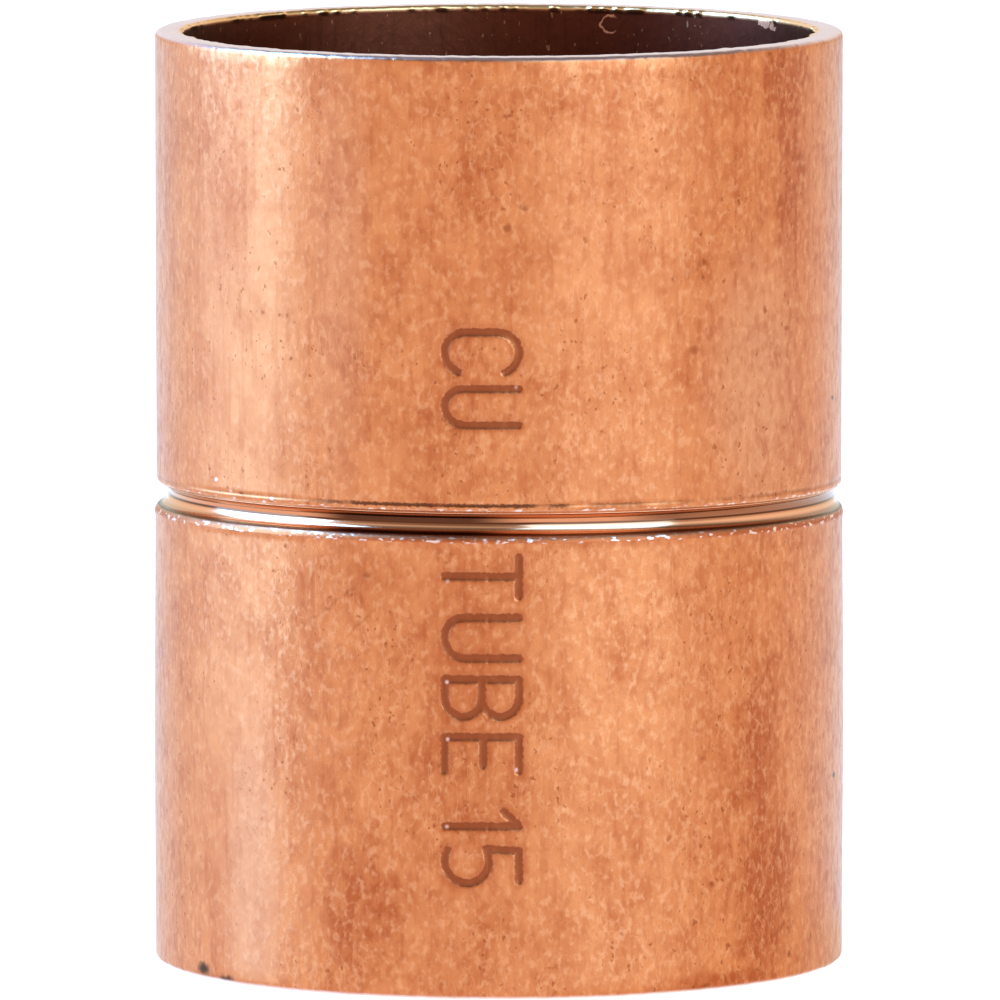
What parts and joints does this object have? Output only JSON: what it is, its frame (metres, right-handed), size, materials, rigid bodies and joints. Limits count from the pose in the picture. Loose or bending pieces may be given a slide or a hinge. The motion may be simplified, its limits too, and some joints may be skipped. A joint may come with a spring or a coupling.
{
  "type": "pipe coupling",
  "caption": "Straight copper coupling with two equal open sockets for 15 mm tube and a rolled groove at mid-length that stops the tubes.",
  "frame": {"origin": "on the tube axis at mid-length, in the middle of the tube stop", "axes": "+Z along the tube axis out of the upper socket, -Y towards the stamped marking"},
  "size_m": [0.0164, 0.0164, 0.0222],
  "materials": {
    "copper": "bright copper, lightly brushed and handled"
  },
  "bodies": {
    "root": {"coupling_body": "copper"}
  },
  "joints": []
}
